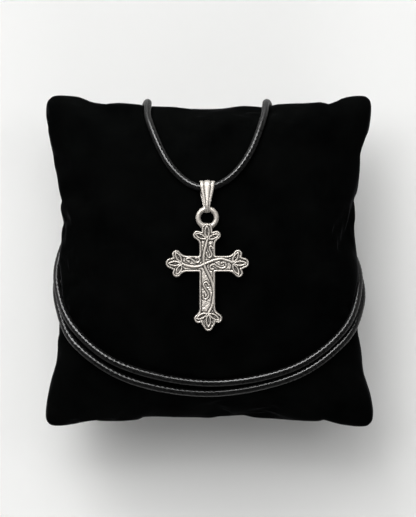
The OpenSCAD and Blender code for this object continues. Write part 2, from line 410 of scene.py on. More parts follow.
def pillow_skin(s, t, side, seam_z):
    """The pillow's even skin by the sines of two angles."""
    width = np.where(s < 0, side_curve(LEFT_SIDE, t), side_curve(RIGHT_SIDE, t))
    height = np.where(t < 0, side_curve(BOTTOM_SIDE, s), side_curve(TOP_SIDE, s))
    reach = np.maximum(np.abs(s), np.abs(t))
    norm = (np.abs(s) ** EAR_POWER + np.abs(t) ** EAR_POWER) ** (1 / EAR_POWER)
    ear = 1 - (1 - reach / np.maximum(norm, TINY)) * reach ** EAR_ONSET
    rise = DOME_H * np.sqrt(np.clip(1 - s * s, 0, 1)) * np.sqrt(np.clip(1 - t * t, 0, 1))
    return np.stack([s * width * ear, t * height * ear, seam_z + side * rise], axis=-1)


def closed_blur(field, reach):
    """Blurs a field over both skins of the pillow, each going on into the other at the seam."""
    span = field.shape[1]
    pad = 2 * reach
    kernel = np.exp(-0.5 * (np.arange(-pad, pad + 1) / reach) ** 2)
    kernel /= kernel.sum()
    for axis in (1, 2):
        rows = np.moveaxis(field, axis, 1)
        other = rows[::-1]
        rows = np.concatenate([other[:, 1:pad + 1][:, ::-1], rows, other[:, -pad - 1:-1][:, ::-1]], axis=1)
        rows = sum(k * rows[:, i:i + span] for i, k in enumerate(kernel))
        field = np.moveaxis(rows, 1, axis)
    return field


def grid_mesh(skins):
    """Points and faces of a closed form from its upper and lower skin, which share their edge."""
    span = skins.shape[1]
    upper = np.arange(span * span).reshape(span, span)
    inner = np.zeros((span, span), dtype=bool)
    inner[1:-1, 1:-1] = True
    lower = upper.copy()
    lower[inner] = span * span + np.arange(inner.sum())
    points = np.vstack([skins[0].reshape(-1, 3), skins[1][inner]])
    faces = []
    for number, order in ((upper, (0, 1, 2, 3)), (lower, (0, 3, 2, 1))):
        corners = [number[:-1, :-1], number[1:, :-1], number[1:, 1:], number[:-1, 1:]]
        faces.append(np.stack([corners[k] for k in order], axis=-1).reshape(-1, 4))
    return points, np.vstack(faces).tolist(), (upper, lower)


def simulated_folds():
    """How far a stuffed cover's folds and puckers stand off its even form. Two flat sheets, sewn round
    their edges, are blown up by cloth simulation at ten times the size."""
    n = FOLD_STEPS
    share = np.linspace(-1, 1, n + 1)
    s, t = np.meshgrid(share, share, indexing="ij")
    rough = np.random.default_rng(FOLD_SEED).standard_normal((2, n + 1, n + 1, 1))
    rough = closed_blur(rough, ROUGH_REACH)[..., 0]
    cap = (1 - s * s) * (1 - t * t)
    rise = np.array([SHEET_RISE, -SHEET_RISE])[:, None, None] * cap
    height = rise + ROUGH_H * rough / rough.std() * cap
    flat = np.stack([np.stack([s * SHEET_HALF, t * SHEET_HALF, h], axis=-1) for h in height])
    points, faces, (upper, lower) = grid_mesh(flat)
    mesh = bpy.data.meshes.new("sheets")
    mesh.from_pydata((points * MM * CLOTH_SCALE).tolist(), [], faces)
    sheets = bpy.data.objects.new("sheets", mesh)
    bpy.context.collection.objects.link(sheets)
    cloth = sheets.modifiers.new("cloth", "CLOTH")
    settings = cloth.settings
    settings.quality = 6
    settings.mass = 0.05
    settings.tension_stiffness = 15
    settings.compression_stiffness = 15
    settings.shear_stiffness = 5
    settings.bending_stiffness = CLOTH_BENDING
    settings.air_damping = 2
    settings.use_pressure = True
    settings.uniform_pressure_force = CLOTH_PRESSURE
    settings.effector_weights.gravity = 0
    cloth.collision_settings.use_collision = False
    cloth.point_cache.frame_start = 1
    cloth.point_cache.frame_end = CLOTH_FRAMES
    for number in range(1, CLOTH_FRAMES + 1):
        bpy.context.scene.frame_set(number)
    blown = sheets.evaluated_get(bpy.context.evaluated_depsgraph_get())
    found = np.empty(len(points) * 3)
    blown.data.vertices.foreach_get("co", found)
    found = found.reshape(-1, 3) / (MM * CLOTH_SCALE)
    bpy.context.scene.frame_set(1)
    bpy.data.objects.remove(sheets)
    bpy.data.meshes.remove(mesh)
    blown_up = np.stack([found[upper], found[lower]])
    angle_sine = np.sin(share * math.pi / 2)
    s, t = np.meshgrid(angle_sine, angle_sine, indexing="ij")
    form = np.stack([pillow_skin(s, t, side, 0) for side in (1, -1)])
    off = blown_up - form
    folds = off - closed_blur(off, FOLD_REACH)
    a, b = np.meshgrid(np.abs(share), np.abs(share), indexing="ij")
    near_corner = np.hypot(1 - a, 1 - b)
    near_seam = np.minimum(1 - a, 1 - b)
    at_seam = SEAM_SHARE + (1 - SEAM_SHARE) * fade(near_seam, 0, SEAM_CALM)
    calm = fade(near_corner, *CORNER_CALM) * at_seam
    return folds * calm[..., None] * FOLD_SHARE


def finer(field, steps):
    """A field on the pillow's grid, read smoothly on a finer grid."""
    n = field.shape[1] - 1
    where = np.linspace(0, n, steps + 1)
    for axis in (1, 2):
        rows = np.moveaxis(field, axis, 0)
        i = np.minimum(where.astype(int), n - 1)
        t = (where - i).reshape(-1, *[1] * (rows.ndim - 1))
        a, b, c, d = (rows[np.clip(i + k, 0, n)] for k in (-1, 0, 1, 2))
        field = np.moveaxis(spline(a, b, c, d, t), 0, axis)
    return field


def outward(skins):
    """Unit normals out of the two skins."""
    normals = np.cross(np.gradient(skins, axis=1), np.gradient(skins, axis=2))
    normals[1] *= -1
    return normals / np.maximum(np.linalg.norm(normals, axis=-1), 1e-9)[..., None]


def tree_of(points):
    """A search tree that finds the nearest of some points."""
    tree = kdtree.KDTree(len(points))
    for i, p in enumerate(points):
        tree.insert(p, i)
    tree.balance()
    return tree


def seat_under_cord(skins, path):
    """Raises or lowers the velvet so that the cord lies in it, wherever the cord passes close."""
    normals = outward(skins)
    flat, flat_normals = skins.reshape(-1, 3), normals.reshape(-1, 3)
    tree = tree_of(flat)
    samples = path[::SEAT_EVERY]
    wanted = []
    for p in samples:
        near, i, _ = tree.find(p)
        gap = (np.array(p) - flat[i]).dot(flat_normals[i])
        wanted.append(gap - CORD_D / 2 - CORD_AIR)
    wanted = np.array(wanted)
    close = np.abs(wanted) < SEAT_MOST
    samples, wanted = samples[close], np.maximum(wanted[close], -SEAT_MOST)
    square = ((flat[:, None] - samples[None]) ** 2).sum(axis=2)
    weight = np.exp(-0.5 * square / SEAT_REACH ** 2)
    total = weight.sum(axis=1)
    lift = (weight * wanted).sum(axis=1) / np.maximum(total, TINY)
    share = 1 - np.exp(-total * SEAT_GAIN)
    path_tree = tree_of(path)
    gap = np.array([path_tree.find(p)[2] for p in flat + flat_normals * lift[:, None]])
    valley = 1 - np.exp(-np.clip(gap ** 2 - (CORD_D / 2) ** 2, 0, None) / CORD_DENT_W ** 2)
    move = lift * share + NAP_H * valley
    resting = fade(flat[:, 2], *SEAT_OFF_FLOOR) + (flat_normals[:, 2] > 0)
    return skins + (flat_normals * (move * np.clip(resting, 0, 1))[:, None]).reshape(skins.shape)


def seat_under_cross(skins):
    """Fills the velvet up to the flat cross and keeps it below the bail."""
    x, y, z = (skins[0, ..., k] for k in range(3))
    cross_x, cross_y = x - CROSS_AT[0], y - CROSS_AT[1]
    plate = np.maximum(plate_distance(cross_x, cross_y), 0)
    share = CROSS_SEAT * np.exp(-(plate / CROSS_SEAT_REACH) ** 2)
    under_cross = CROSS_AT[2] - CROSS_AIR
    z = z + share * (under_cross - z)
    outside = np.clip(cross_distance(cross_x, cross_y) - VELVET_MARGIN, 0, None)
    z = smooth_min(z, under_cross + outside, VELVET_TURN_CROSS)
    lowest = BAIL_AT[2] - BAIL_HOLE_R - BAIL_WALL - CROSS_AIR
    below = np.clip(BAIL_AT[1] - y, 0, None)
    beside = np.clip(np.abs(x - BAIL_AT[0]) - BAIL_TOP_W / 2 - VELVET_MARGIN, 0, None)
    beyond = np.clip(y - BAIL_AT[1] - BAIL_HOLE_R, 0, None)
    under_bail = lowest + UNDER_BAIL_LEAN * below + VELVET_SLOPE * beside + VELVET_SLOPE * beyond
    skins[0, ..., 2] = smooth_min(z, under_bail, VELVET_TURN_BAIL)
    return skins


def make_pillow(path):
    n = PILLOW_STEPS
    sines = np.sin(np.linspace(-math.pi / 2, math.pi / 2, n + 1))
    s, t = np.meshgrid(sines, sines, indexing="ij")
    skins = np.stack([pillow_skin(s, t, side, SEAM_Z) for side in (1, -1)])
    folds = finer(simulated_folds(), n)
    folds[1] *= fade(skins[1, ..., 2], *FLOOR_CALM)[..., None]
    from_cross = np.hypot(skins[0, ..., 0], skins[0, ..., 1] - CALM_Y)
    folds[0] *= (1 - CALM_SHARE * np.exp(-(from_cross / CALM_R) ** 4))[..., None]
    skins = skins + folds
    skins[1, ..., 2] = smooth_max(skins[1, ..., 2], 0, FLOOR_TURN)
    skins = seat_under_cord(skins, path)
    skins = seat_under_cross(skins)
    tree = tree_of(path)
    flat = skins.reshape(-1, 3)
    clear = CORD_D / 2 + CORD_AIR
    for i, p in enumerate(flat):
        near, _, gap = tree.find(p)
        if gap < clear:
            flat[i] = near + (Vector(p) - near) * (clear / max(gap, TINY))
    flat[:, 2] = np.maximum(flat[:, 2], 0)
    skins = flat.reshape(skins.shape)
    skins[1, 0], skins[1, -1], skins[1, :, 0], skins[1, :, -1] = (
        skins[0, 0], skins[0, -1], skins[0, :, 0], skins[0, :, -1]
    )
    points, faces, _ = grid_mesh(skins)
    piece = mesh_object("velvet_pillow", points, faces, velvet_material())
    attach(piece, "root")
    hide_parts("display_pillow")


# Cross: its place, and its outline and relief as read from the photograph. A bar is its least and
# greatest x and y. A lobe is the end it is on, its place and its radius, and a leaf its end and tip.
CROSS_AT = np.array([-0.44, -0.66, 35.1])
CROSS_STEP = 0.075
PLATE_T = 1.5
BAR_HALF_W = 1.87
BARS = [(-BAR_HALF_W, BAR_HALF_W, -11.87, 5.89), (-6.05, 6.05, -BAR_HALF_W, BAR_HALF_W)]
ROOTS = {"left": (-6.05, 0.05), "right": (6.05, 0.1), "top": (0.0, 5.89), "foot": (0.25, -11.87)}
ROOT_R = 1.3
BAR_BLEND = 0.5
LOBE_BLEND = 0.25
END_BLEND = 0.9
LOBES = [
    ("left", -8.78, 0.12, 1.2), ("left", -7.7, 0.05, 1.6), ("left", -7.46, 2.25, 1.0),
    ("left", -7.36, -2.19, 1.0),
    ("right", 8.8, 0.2, 1.2), ("right", 7.7, 0.12, 1.6), ("right", 7.39, 2.32, 1.02),
    ("right", 7.56, -2.19, 1.02),
    ("top", -0.06, 8.45, 1.25), ("top", -2.41, 6.94, 1.0), ("top", 2.23, 6.9, 1.0),
    ("foot", 0.27, -15.1, 1.07), ("foot", 0.25, -13.9, 1.7), ("foot", -2.08, -13.23, 1.05),
    ("foot", 2.54, -13.16, 1.05),
]
LEAVES = [
    ("left", -9.65, 0.07), ("left", -7.8, 3.0), ("left", -7.55, -2.87),
    ("right", 9.72, 0.14), ("right", 7.62, 3.0), ("right", 7.74, -2.87),
    ("top", -0.1, 9.43), ("top", -3.1, 7.33), ("top", 3.04, 7.19),
    ("foot", 0.29, -15.56), ("foot", -2.85, -13.38), ("foot", 3.13, -13.77),
]
LEAF_W = 1.46
LEAF_H = 0.42
LEAF_CREST = 0.235
RIM_W = 0.42
RIM_H = 0.29
RIM_ROOT = 0.12
VINE_R = 0.34
VINE_H = 0.36
SCROLL_R = 0.25
SCROLL_H = 0.29
SCROLL_KNOB = 0.08
BEAD_ROOT = 0.2
BEAD_TOP = 0.85
RELIEF_BLEND = 0.04
GROOVE_W = 0.15
GROOVE_DEEP = 0.14
GROOVE_START = -0.04
# The cast ground's roughness: height, size of a cell and seed
GROUND_ROUGH = [(0.05, 0.26, 5), (0.02, 0.5, 6)]
VINE_DOWN = [
    (0.05, 5.9), (-0.35, 4.3), (-0.75, 2.5), (-0.87, 0.9), (-0.5, -0.9), (0.4, -2.75),
    (1.2, -4.55), (1.6, -6.65), (1.45, -8.75), (1.1, -10.3), (0.3, -11.9),
]
VINE_ACROSS = [
    (-6, 0.05), (-5.2, -0.35), (-3.35, -0.7), (-1.8, -0.55), (-0.75, -0.05),
    (0.4, 0.4), (1.85, 0.95), (3.2, 1.2), (4.5, 0.95), (6.1, 0.3),
]
SCROLLS = [
    [(1.25, 3.75), (1.05, 4.15), (0.6, 4.1), (0.6, 3.45), (0.9, 2.75), (1.1, 2.2), (0.85, 1.65), (0.4, 1.5),
     (-0.05, 1.95), (-0.15, 2.55)],
    [(-4.4, 0.5), (-5, 0.85), (-4.85, 1.3), (-4.15, 1.35), (-3.5, 0.9), (-2.85, 0.4), (-2.2, 0.4),
     (-1.8, 0.95), (-2.1, 1.4), (-2.75, 1.4)],
    [(1.45, -1.3), (0.85, -1.2), (0.8, -0.5), (1.6, -0.1), (2.4, -0.65), (3.45, -1.05), (4.35, -0.75),
     (4.5, 0), (3.95, 0.4), (3.45, 0.15)],
    [(0.4, -5.1), (-0.1, -4.45), (-0.75, -4.7), (-0.85, -5.35), (-0.35, -6.15), (0.15, -6.9), (0.3, -7.85),
     (-0.2, -8.5), (-0.85, -8.35), (-1, -7.7)],
]
RING_Y = 11.1
RING_Z = 0.8
RING_MID_R = 2.18
WIRE_R = 0.56
NECK = 0.7
RING_BLEND = (-0.25, 0.2)
EDGE_R = 0.2
EDGE_BULGE = 0.05
CROSS_SPAN_X = (-10.8, 10.8)
CROSS_SPAN_Y = (-17.2, 14.5)
# How dark the metal is painted, as tarnish and painted shade: reach and depth of a full recess, and its
# values on the face, in the grooves, on the ring, on the back and on the edge
RECESS_REACH = 0.22
RECESS_DEPTH = 0.16
RECESS_FACE = 0.12
RECESS_GROOVE = 0.6
RECESS_RING = 0.15
RECESS_BACK = 0.3
RECESS_EDGE = 0.35
# A distance at which no raised form is felt
FAR = 9.0
# Cells a side of the random grid, and how far it reaches to the left of and below the cross's middle
NOISE_CELLS = 400
NOISE_FROM = 30


def hull_distance(x, y, start, r1, end, r2):
    """Signed distance to the hull of two circles."""
    dx, dy = end[0] - start[0], end[1] - start[1]
    length = math.hypot(dx, dy)
    ux, uy = dx / length, dy / length
    across = np.abs((y - start[1]) * ux - (x - start[0]) * uy)
    along = (x - start[0]) * ux + (y - start[1]) * uy
    b = (r1 - r2) / length
    a = math.sqrt(1 - b * b)
    where = a * along - b * across
    d = a * across + b * along - r1
    d = np.where(where < 0, np.hypot(across, along) - r1, d)
    return np.where(where > a * length, np.hypot(across, along - length) - r2, d)


def box_distance(x, y, x0, x1, y0, y1):
    """Signed distance to a rectangle."""
    dx = np.maximum(x0 - x, x - x1)
    dy = np.maximum(y0 - y, y - y1)
    return np.hypot(np.maximum(dx, 0), np.maximum(dy, 0)) + np.minimum(np.maximum(dx, dy), 0)


def plate_distance(x, y):
    """Signed distance to the cross without its ring."""
    bars = smooth_min(box_distance(x, y, *BARS[0]), box_distance(x, y, *BARS[1]), BAR_BLEND)
    for end, root in ROOTS.items():
        lobes = None
        for name, cx, cy, r in LOBES:
            if name == end:
                d = hull_distance(x, y, root, ROOT_R, (cx, cy), r)
                lobes = d if lobes is None else smooth_min(lobes, d, LOBE_BLEND)
        bars = smooth_min(bars, lobes, END_BLEND)
    return bars


def wire_distance(x, y):
    """Signed distance to the ring's wire."""
    return np.abs(np.hypot(x, y - RING_Y) - RING_MID_R) - WIRE_R


def cross_distance(x, y):
    """Signed distance to the cross and its ring."""
    return smooth_min(plate_distance(x, y), wire_distance(x, y), NECK)


def strand_distance(x, y, points):
    """Distance to the smooth line through some points."""
    p = curve(points, 8)
    best = np.full(x.shape, FAR)
    for a, b in zip(p, p[1:]):
        d = b - a
        t = np.clip(((x - a[0]) * d[0] + (y - a[1]) * d[1]) / d.dot(d), 0, 1)
        best = np.minimum(best, np.hypot(x - a[0] - t * d[0], y - a[1] - t * d[1]))
    return best


def leaf_distance(x, y, root, tip):
    """Signed distance to a leaf: the part that two circles share, from its root to its tip."""
    dx, dy = tip[0] - root[0], tip[1] - root[1]
    length = math.hypot(dx, dy)
    along = ((x - root[0]) * dx + (y - root[1]) * dy) / length
    across = np.abs((y - root[1]) * dx - (x - root[0]) * dy) / length
    r = (length ** 2 + LEAF_W ** 2) / (4 * LEAF_W)
    return np.hypot(along - length / 2, across - LEAF_W / 2 + r) - r


def bead(offset, half):
    """The round top of a bead at an offset from its middle, from 0 to 1."""
    return np.sqrt(np.clip(1 - (offset / half) ** 2, 0, 1))


def raised_bead(offset, half, height, root=BEAD_ROOT):
    """Height of a bead over the cross's underside, its root a little below the plate's face."""
    return PLATE_T - root + (height + root) * bead(offset, half)


def value_noise(x, y, cell, seed):
    """Smooth random values from -1 to 1, one for each cell of a square grid."""
    values = np.random.default_rng(seed).uniform(-1, 1, (NOISE_CELLS, NOISE_CELLS))
    gx, gy = (x + NOISE_FROM) / cell, (y + NOISE_FROM) / cell
    last = NOISE_CELLS - 1
    ix, iy = np.floor(gx).astype(int) % last, np.floor(gy).astype(int) % last
    fx, fy = fade(gx - np.floor(gx), 0, 1), fade(gy - np.floor(gy), 0, 1)
    low = values[ix, iy] * (1 - fx) + values[ix + 1, iy] * fx
    high = values[ix, iy + 1] * (1 - fx) + values[ix + 1, iy + 1] * fx
    return low * (1 - fy) + high * fy


def groove(beyond):
    """How much of the groove beside a raised form there is at a distance beyond its edge."""
    return np.where(beyond > GROOVE_START, np.exp(-(np.maximum(beyond, 0) / GROOVE_W) ** 2), 0)


def relief(x, y):
    """Height of the cross's face over its underside, its share of the ring, and its share of the grooves,
    which is painted darker as shade.
    """
    plate = plate_distance(x, y)
    inside = np.clip(-plate, 0, None)
    leaf = np.full(x.shape, -FAR)
    for end, tx, ty in LEAVES:
        leaf = np.maximum(leaf, -leaf_distance(x, y, ROOTS[end], (tx, ty)))
    vine = np.full(x.shape, FAR)
    for points in (VINE_DOWN, VINE_ACROSS):
        vine = np.minimum(vine, strand_distance(x, y, points))
    scroll = np.full(x.shape, FAR)
    for points in SCROLLS:
        scroll = np.minimum(scroll, strand_distance(x, y, points))
        for end in (points[0], points[-1]):
            scroll = np.minimum(scroll, np.hypot(x - end[0], y - end[1]) - SCROLL_KNOB)
    # The grooves beside the raised forms are cut and also painted darker, as painted shade.
    deep = np.maximum(groove(vine - VINE_R), groove(scroll - SCROLL_R))
    deep = np.maximum(deep, np.maximum(groove(-leaf), groove(leaf - 2 * LEAF_CREST)))
    deep = np.maximum(deep, groove(inside - RIM_W))
    ground = np.full(x.shape, PLATE_T)
    for height, cell, seed in GROUND_ROUGH:
        ground = ground + height * value_noise(x, y, cell, seed)
    ground = ground - GROOVE_DEEP * deep
    rim = raised_bead(inside - RIM_W / 2, RIM_W / 2, RIM_H, RIM_ROOT)
    face = np.where(inside < RIM_W / 2, rim, smooth_max(ground, rim, RELIEF_BLEND))
    crest = raised_bead(leaf - LEAF_CREST, LEAF_CREST, LEAF_H)
    in_leaf = np.where(leaf > LEAF_CREST, ground, face)
    face = np.where(leaf > 0, smooth_max(in_leaf, crest, RELIEF_BLEND), face)
    strand = raised_bead(vine, VINE_R, VINE_H)
    face = np.where(vine < VINE_R, smooth_max(face, strand, RELIEF_BLEND), face)
    curl = raised_bead(np.maximum(scroll, 0), SCROLL_R, SCROLL_H)
    face = np.where(scroll < SCROLL_R, smooth_max(face, curl, RELIEF_BLEND), face)
    raised = (vine < VINE_R * BEAD_TOP) | (scroll < SCROLL_R * BEAD_TOP)
    deep = np.where(raised, 0, deep)
    whole = np.clip(-cross_distance(x, y), 0, WIRE_R)
    ring = RING_Z + WIRE_R * bead(WIRE_R - whole, WIRE_R)
    near_ring = wire_distance(x, y) < NECK
    top = np.where(plate < 0, np.where(near_ring, np.maximum(face, ring), face), ring)
    # Outside the plate, on the ring, the groove share paints a shade line along the lobes' edges.
    return top, fade(plate, *RING_BLEND), np.where(plate < 0, deep, groove(plate))


def underside(x, y, on_ring):
    """Height of the cross's back: flat with rounded edges, and the ring's round wire."""
    inside = np.clip(-cross_distance(x, y), 0, None)
    plate = EDGE_R * (1 - bead(EDGE_R - np.minimum(inside, EDGE_R), EDGE_R))
    ring = RING_Z - WIRE_R * bead(WIRE_R - np.minimum(inside, WIRE_R), WIRE_R)
    return plate * (1 - on_ring) + ring * on_ring


def blurred(grid, sigma):
    """A grid of values smoothed over sigma of its steps."""
    reach = int(3 * sigma)
    kernel = np.exp(-0.5 * (np.arange(-reach, reach + 1) / sigma) ** 2)
    kernel /= kernel.sum()
    for axis in (0, 1):
        grid = np.apply_along_axis(lambda row: np.convolve(row, kernel, "same"), axis, grid)
    return grid


def cut_grid(distance, span_x, span_y, step):
    """The part of a square grid where distance < 0, its edge cut along the outline.
    Gives x, y, faces of corner numbers, the edges along the outline, and each point's grid place."""
    xs = np.arange(span_x[0], span_x[1] + step, step)
    ys = np.arange(span_y[0], span_y[1] + step, step)
    x, y = np.meshgrid(xs, ys, indexing="ij")
    d = distance(x, y)
    near = np.abs(d) < 0.35 * step
    e = 0.25 * step
    for _ in range(2):
        nx, ny = x[near], y[near]
        gx = (distance(nx + e, ny) - distance(nx - e, ny)) / (2 * e)
        gy = (distance(nx, ny + e) - distance(nx, ny - e)) / (2 * e)
        off = distance(nx, ny)
        x[near] = nx - off * gx
        y[near] = ny - off * gy
    d[near] = 0
    keep = d <= 0
    number = np.full(d.shape, -1)
    number[keep] = np.arange(keep.sum())
    px, py = list(x[keep]), list(y[keep])
    place = list(zip(*np.nonzero(keep)))
    whole = keep[:-1, :-1] & keep[1:, :-1] & keep[1:, 1:] & keep[:-1, 1:]
    some = keep[:-1, :-1] | keep[1:, :-1] | keep[1:, 1:] | keep[:-1, 1:]
    corners = np.stack([number[:-1, :-1], number[1:, :-1], number[1:, 1:], number[:-1, 1:]], axis=-1)
    faces = corners[whole].tolist()
    crossings = {}

    def crossing(p, q):
        key = (min(p, q), max(p, q))
        if key not in crossings:
            share = d[p] / (d[p] - d[q])
            crossings[key] = len(px)
            px.append(x[p] + share * (x[q] - x[p]))
            py.append(y[p] + share * (y[q] - y[p]))
            place.append(p if keep[p] else q)
        return crossings[key]

    for i, j in zip(*np.nonzero(some & ~whole)):
        ring = [(i, j), (i + 1, j), (i + 1, j + 1), (i, j + 1)]
        face = []
        for p, q in zip(ring, ring[1:] + ring[:1]):
            if keep[p]:
                face.append(int(number[p]))
            if d[p] * d[q] < 0:
                face.append(crossing(p, q))
        if len(face) > 2:
            faces.append(face)
    directed = set()
    for face in faces:
        directed.update(zip(face, face[1:] + face[:1]))
    rim = [(a, b) for a, b in directed if (b, a) not in directed]
    return np.array(px), np.array(py), faces, rim, (x, y, np.array(place))


def make_cross(material):
    x, y, faces, rim, (gx, gy, place) = cut_grid(cross_distance, CROSS_SPAN_X, CROSS_SPAN_Y, CROSS_STEP)
    top, on_ring, deep = relief(x, y)
    low = underside(x, y, on_ring)
    heights, _, _ = relief(gx, gy)
    heights = np.where(cross_distance(gx, gy) > 0, PLATE_T, heights)
    # Each point's recess is how far it lies below its blurred surroundings, plus the grooves: tarnish and
    # painted shade in the hollows.
    recess = (blurred(heights, RECESS_REACH / CROSS_STEP) - heights)[place[:, 0], place[:, 1]]
    recess = (recess / RECESS_DEPTH + RECESS_FACE) * (1 - on_ring) + RECESS_RING * on_ring
    recess = np.clip(recess + RECESS_GROOVE * deep, 0, 1)
    n = len(x)
    edge_points = sorted({p for pair in rim for p in pair})
    middle = {p: 2 * n + i for i, p in enumerate(edge_points)}
    e = 0.02
    ex, ey = x[edge_points], y[edge_points]
    out_x = (cross_distance(ex + e, ey) - cross_distance(ex - e, ey)) / (2 * e)
    out_y = (cross_distance(ex, ey + e) - cross_distance(ex, ey - e)) / (2 * e)
    halfway = (top[edge_points] + low[edge_points]) / 2
    points = np.vstack([
        np.column_stack([x, y, top]),
        np.column_stack([x, y, low]),
        np.column_stack([ex + EDGE_BULGE * out_x, ey + EDGE_BULGE * out_y, halfway]),
    ])
    everything = list(faces)
    everything += [[p + n for p in reversed(face)] for face in faces]
    for a, b in rim:
        everything.append([b, a, middle[a], middle[b]])
        everything.append([middle[b], middle[a], a + n, b + n])
    values = np.concatenate([recess, np.full(n, RECESS_BACK), np.full(len(edge_points), RECESS_EDGE)])
    piece = mesh_object("cross_with_leaves", points + CROSS_AT, everything, material, values)
    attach(piece, "root")
    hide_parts("cross_pendant")


# Bail: a bent strip with a wide middle flute and two narrow ones, its widths by distance down
BAIL_AT = np.array([-0.44, 17.86, 34.55])
BAIL_TOP_W = 3.5
BAIL_WIDTHS = [
    (0, 3.35), (1.4, 3.2), (2.7, 2.75), (4.1, 2.1), (5.5, 1.55), (6.5, 1.2), (7.2, 1.05), (9, 0.8),
]
BAIL_SAMPLES = 12
BAIL_WALL = 0.16
BAIL_HOLE_R = 1.24
BAIL_LIP = 0.3
BAIL_LIP_REACH = 0.4
BAIL_RING_R = 0.74
BAIL_RING_DROP = 0.06
# Flutes: height, the middle one's edge as a share of the half width, the heights of the middle one
# and of the side ones as shares, the roundness of their tops, and how they start and end
FLUTE_H = 0.27
FLUTE_EDGE = 0.5
FLUTE_MIDDLE = 1.15
FLUTE_SIDE = 0.8
FLUTE_ROUND = 0.8
FLUTE_START = 0.7
FLUTE_FULL_AT = 0.2
FLUTE_BACK_REACH = 0.8
FLUTE_END = (0.97, 0.8)
# The back half of the bail goes aside below its round top
BACK_SHIFT = 0.3
BACK_SHIFT_FROM = 0.3
BACK_SHIFT_OVER = 2
# The strip's inner side: shares of the half width, and of the wall's thickness
BAIL_INSIDE = [(1.03, 0.5), (1.0, 0.1), (0.9, 0.0), (-0.9, 0.0), (-1.0, 0.1), (-1.03, 0.5)]
BAIL_EDGE_DROP = 0.1
# Darkness of the bail's metal: painted shade in the valleys between the flutes, a base value on the face,
# and painted shade inside the loop
BAIL_RECESS_VALLEY = 0.5
BAIL_RECESS_FACE = 0.1
BAIL_RECESS_INSIDE = 0.5
BAIL_STATIONS = 120
BAIL_ACROSS = 40


def make_bail(material):
    ring_at = CROSS_AT + [0, RING_Y + RING_MID_R - BAIL_RING_DROP, RING_Z]
    drop_y, drop_z = BAIL_AT[1] - ring_at[1], BAIL_AT[2] - ring_at[2]
    reach = math.hypot(drop_y, drop_z)
    lean = math.asin(drop_z / reach)
    touch = math.acos((BAIL_HOLE_R - BAIL_RING_R) / reach)
    total = BAIL_HOLE_R + reach + BAIL_RING_R

    # Stations evenly along the loop: the round top, a straight side, the round tip, and back
    arc_top = 2 * (math.pi - touch) * BAIL_HOLE_R
    arc_tip = 2 * touch * BAIL_RING_R
    straight = reach * math.sin(touch)
    whole = arc_top + arc_tip + 2 * straight

    def loop(distance):
        """A point of the hole's edge and the way out of it: 0 is the middle of the round top."""
        d = distance % whole
        if d > whole / 2:
            p, o = loop(whole - d)
            return (p[0], -p[1]), (o[0], -o[1])
        if d < arc_top / 2:
            turn = math.pi - d / BAIL_HOLE_R
            o = (math.cos(turn), math.sin(turn))
            return (BAIL_HOLE_R * o[0], BAIL_HOLE_R * o[1]), o
        d -= arc_top / 2
        o = (math.cos(touch), math.sin(touch))
        if d < straight:
            k = d / straight
            r = BAIL_HOLE_R + (BAIL_RING_R - BAIL_HOLE_R) * k
            return (reach * k + r * o[0], r * o[1]), o
        turn = touch - (d - straight) / BAIL_RING_R
        o = (math.cos(turn), math.sin(turn))
        return (reach + BAIL_RING_R * o[0], BAIL_RING_R * o[1]), o

    u = np.linspace(-1, 1, BAIL_ACROSS + 1)
    from_valley = np.minimum(np.abs(np.abs(u) - FLUTE_EDGE) / (1 - FLUTE_EDGE), 1)
    middle = bead(u, FLUTE_EDGE) ** FLUTE_ROUND
    beside = bead(np.abs(u) - (1 + FLUTE_EDGE) / 2, (1 - FLUTE_EDGE) / 2) ** FLUTE_ROUND
    flute = np.where(np.abs(u) < FLUTE_EDGE, FLUTE_MIDDLE * middle, FLUTE_SIDE * beside)
    widths = curve(BAIL_WIDTHS, BAIL_SAMPLES)
    rows, recess = [], []
    for i in range(BAIL_STATIONS):
        distance = whole * i / BAIL_STATIONS
        (sx, sz), (ox, oz) = loop(distance)
        down = sx + BAIL_HOLE_R
        front = distance < whole / 2
        from_top = distance if front else whole - distance
        lip = BAIL_LIP * math.exp(-(from_top / BAIL_LIP_REACH) ** 2)
        half = np.interp(down, widths[:, 0], widths[:, 1]) / 2 + lip
        if front:
            start = FLUTE_START + (1 - FLUTE_START) * fade(distance, 0, arc_top * FLUTE_FULL_AT)
            shift = 0
        else:
            start = FLUTE_START * fade(from_top, FLUTE_BACK_REACH, 0)
            shift_from = arc_top * BACK_SHIFT_FROM
            shift = -BACK_SHIFT * fade(whole - distance, shift_from, shift_from + BACK_SHIFT_OVER)
        finish = fade(down, total * FLUTE_END[0], total * FLUTE_END[1])
        height = BAIL_WALL + FLUTE_H * flute * start * finish
        height[[0, -1]] -= BAIL_EDGE_DROP
        for k, v in enumerate(u):
            h = height[k]
            rows.append((half * v + shift, sx + ox * h, sz + oz * h))
            # Painted shade in the valleys between the flutes, on top of the face's base value
            recess.append(BAIL_RECESS_VALLEY * (1 - from_valley[k]) ** 2 * start + BAIL_RECESS_FACE)
        for v, wall_share in BAIL_INSIDE:
            h = wall_share * BAIL_WALL
            rows.append((half * v + shift, sx + ox * h, sz + oz * h))
            # Painted shade on the inside of the loop
            recess.append(BAIL_RECESS_INSIDE)
    around = BAIL_ACROSS + 1 + len(BAIL_INSIDE)
    local = np.array(rows)
    cos, sin = math.cos(lean), math.sin(lean)
    points = np.column_stack([
        local[:, 0], -local[:, 1] * cos - local[:, 2] * sin, -local[:, 1] * sin + local[:, 2] * cos,
    ]) + BAIL_AT
    faces = strip_faces(BAIL_STATIONS, around, closed_along=True)
    piece = mesh_object("bail_fluted", points, faces, material, recess)
    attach(piece, "root")
    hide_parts("bail")


